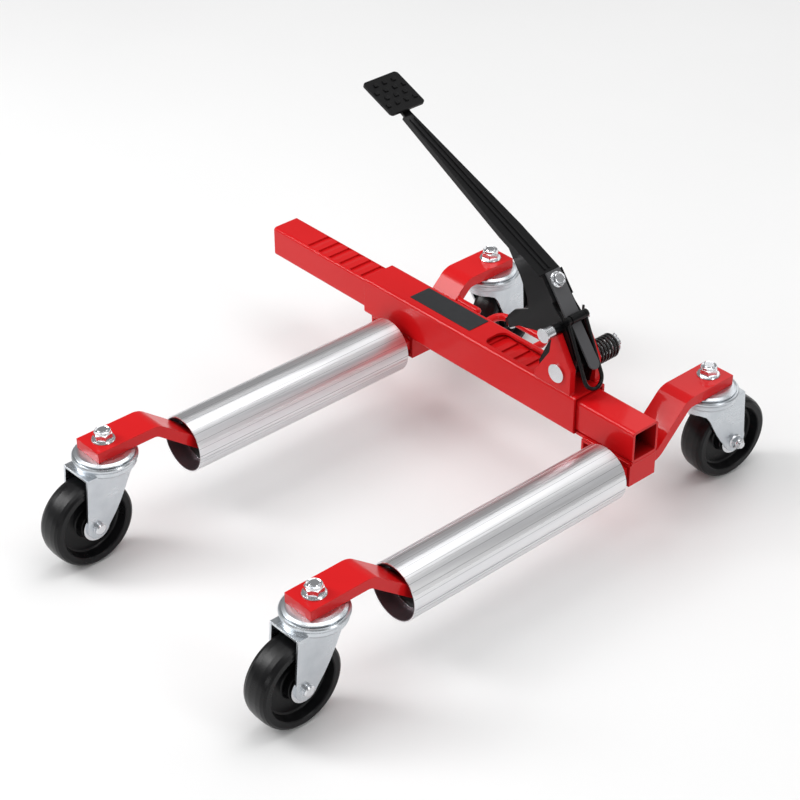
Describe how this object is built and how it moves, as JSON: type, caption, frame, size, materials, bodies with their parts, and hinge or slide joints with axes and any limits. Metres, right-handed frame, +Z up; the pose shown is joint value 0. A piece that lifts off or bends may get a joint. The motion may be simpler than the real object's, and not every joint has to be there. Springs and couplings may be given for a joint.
{
  "type": "wheel dolly",
  "caption": "Vehicle wheel dolly: a ratchet pedal on a square sleeve draws a sliding rail in, so two rollers squeeze under the tyre, on four swivel casters.",
  "frame": {"origin": "centre of the bounding box's footprint, on the floor under the casters", "axes": "+X along the beam, towards the rail's open end, +Y from the open side of the fork to the beam, +Z up"},
  "size_m": [0.6079, 0.7201, 0.3934],
  "materials": {
    "red_paint": "glossy red powder coat with slight orange peel",
    "black_paint": "gloss black powder coat",
    "spring_black": "black oxide spring wire",
    "label_film": "charcoal film with one orange band, blank",
    "roller_aluminium": "bright mill finish, ribbed lengthways",
    "wheel_plastic": "semi-gloss black moulded polyolefin",
    "zinc_plate": "bluish zinc plate on pressed steel",
    "grey_steel": "satin grey steel",
    "bush_plastic": "dark matt nylon",
    "bright_zinc": "bright zinc-plated fasteners"
  },
  "bodies": {
    "sleeve_frame": {"sleeve_tube": "red_paint", "front_ear": "red_paint", "rear_ear": "red_paint", "label_plate": "label_film", "rear_handle": "red_paint", "stow_peg": "red_paint", "left_leg_block": "red_paint", "left_leg_bar": "red_paint", "left_roller_bushes": "bush_plastic", "left_roller_rings": "bright_zinc", "main_pivot_pin": "bright_zinc", "pivot_washer": "bright_zinc", "pivot_cotter": "bright_zinc", "return_spring": "spring_black", "left_upper_races": "zinc_plate", "left_king_bolts": "bright_zinc", "left_king_nuts": "bright_zinc", "left_swivel_balls": "bright_zinc"},
    "rail_frame": {"rail_tube": "red_paint", "rail_end_plug": "red_paint", "rail_spacer_plate": "red_paint", "right_leg_block": "red_paint", "right_leg_bar": "red_paint", "right_roller_bushes": "bush_plastic", "right_roller_rings": "bright_zinc", "right_upper_races": "zinc_plate", "right_king_bolts": "bright_zinc", "right_king_nuts": "bright_zinc", "right_swivel_balls": "bright_zinc"},
    "left_roller_body": {"left_roller": "roller_aluminium"},
    "right_roller_body": {"right_roller": "roller_aluminium"},
    "foot_lever_body": {"foot_lever": "black_paint", "pedal_pad": "black_paint", "pawl_pin": "bright_zinc", "pawl_pin_spacer": "black_paint", "pawl_pin_ring": "bright_zinc", "release_strip": "grey_steel", "strip_bolt": "bright_zinc", "strip_nut": "bright_zinc", "cross_bar": "black_paint"},
    "drive_pawl_body": {"drive_pawl": "black_paint"},
    "holding_pawl_body": {"holding_pawl": "black_paint"},
    "release_bail_body": {"release_bail": "black_paint"},
    "front_left_swivel_body": {"front_left_fork": "zinc_plate", "front_left_axle_bolt": "bright_zinc", "front_left_axle_nut": "bright_zinc"},
    "front_left_wheel_body": {"front_left_wheel": "wheel_plastic"},
    "front_right_swivel_body": {"front_right_fork": "zinc_plate", "front_right_axle_bolt": "bright_zinc", "front_right_axle_nut": "bright_zinc"},
    "front_right_wheel_body": {"front_right_wheel": "wheel_plastic"},
    "rear_left_swivel_body": {"rear_left_fork": "zinc_plate", "rear_left_axle_bolt": "bright_zinc", "rear_left_axle_nut": "bright_zinc"},
    "rear_left_wheel_body": {"rear_left_wheel": "wheel_plastic"},
    "rear_right_swivel_body": {"rear_right_fork": "zinc_plate", "rear_right_axle_bolt": "bright_zinc", "rear_right_axle_nut": "bright_zinc"},
    "rear_right_wheel_body": {"rear_right_wheel": "wheel_plastic"}
  },
  "joints": [
    {"name": "rail_slide", "type": "slide", "parent": "sleeve_frame", "child": "rail_frame", "axis": [1, 0, 0], "range_m": [0, 0.17]},
    {"name": "left_roller_spin", "type": "hinge", "parent": "sleeve_frame", "child": "left_roller_body", "pos_m": [-0.073, -0.031, 0.0854], "axis": [0, 1, 0], "continuous": true},
    {"name": "right_roller_spin", "type": "hinge", "parent": "rail_frame", "child": "right_roller_body", "pos_m": [0.2685, -0.031, 0.0854], "axis": [0, 1, 0], "continuous": true},
    {"name": "foot_lever_press", "type": "hinge", "parent": "sleeve_frame", "child": "foot_lever_body", "pos_m": [0.182, 0.1555, 0.1635], "axis": [0, -1, 0], "range_deg": [0, 24], "stiffness_Nm_per_rad": 4, "springref_deg": -51.57, "deforming": ["return_spring"]},
    {"name": "drive_pawl_hang", "type": "hinge", "parent": "foot_lever_body", "child": "drive_pawl_body", "pos_m": [0.1755, 0.1555, 0.2143], "axis": [0, -1, 0], "range_deg": [-24, 0]},
    {"name": "holding_pawl_lift", "type": "hinge", "parent": "sleeve_frame", "child": "holding_pawl_body", "pos_m": [0.182, 0.1555, 0.1635], "axis": [0, 1, 0], "range_deg": [0, 20]},
    {"name": "release_bail_swing", "type": "hinge", "parent": "foot_lever_body", "child": "release_bail_body", "pos_m": [0.18435, 0.1555, 0.22451], "axis": [0, -1, 0], "range_deg": [0, 70]},
    {"name": "front_left_swivel", "type": "hinge", "parent": "sleeve_frame", "child": "front_left_swivel_body", "pos_m": [-0.073, -0.28, 0.112], "axis": [0, 0, 1], "continuous": true},
    {"name": "front_left_wheel_spin", "type": "hinge", "parent": "front_left_swivel_body", "child": "front_left_wheel_body", "pos_m": [-0.07274, -0.31, 0.05], "axis": [1, 0.0087, 0], "continuous": true},
    {"name": "front_right_swivel", "type": "hinge", "parent": "rail_frame", "child": "front_right_swivel_body", "pos_m": [0.2685, -0.28, 0.112], "axis": [0, 0, 1], "continuous": true},
    {"name": "front_right_wheel_spin", "type": "hinge", "parent": "front_right_swivel_body", "child": "front_right_wheel_body", "pos_m": [0.26839, -0.31, 0.05], "axis": [1, -0.0035, 0], "continuous": true},
    {"name": "rear_left_swivel", "type": "hinge", "parent": "sleeve_frame", "child": "rear_left_swivel_body", "pos_m": [-0.073, 0.28, 0.112], "axis": [0, 0, 1], "continuous": true},
    {"name": "rear_left_wheel_spin", "type": "hinge", "parent": "rear_left_swivel_body", "child": "rear_left_wheel_body", "pos_m": [-0.07821, 0.30954, 0.05], "axis": [-0.9848, -0.1736, 0], "continuous": true},
    {"name": "rear_right_swivel", "type": "hinge", "parent": "rail_frame", "child": "rear_right_swivel_body", "pos_m": [0.2685, 0.28, 0.112], "axis": [0, 0, 1], "continuous": true},
    {"name": "rear_right_wheel_spin", "type": "hinge", "parent": "rear_right_swivel_body", "child": "rear_right_wheel_body", "pos_m": [0.27184, 0.30981, 0.05], "axis": [-0.9938, 0.1115, 0], "continuous": true}
  ],
  "couplings": [
    {"joint": "drive_pawl_hang", "follows": "foot_lever_press", "ratio": -1}
  ]
}
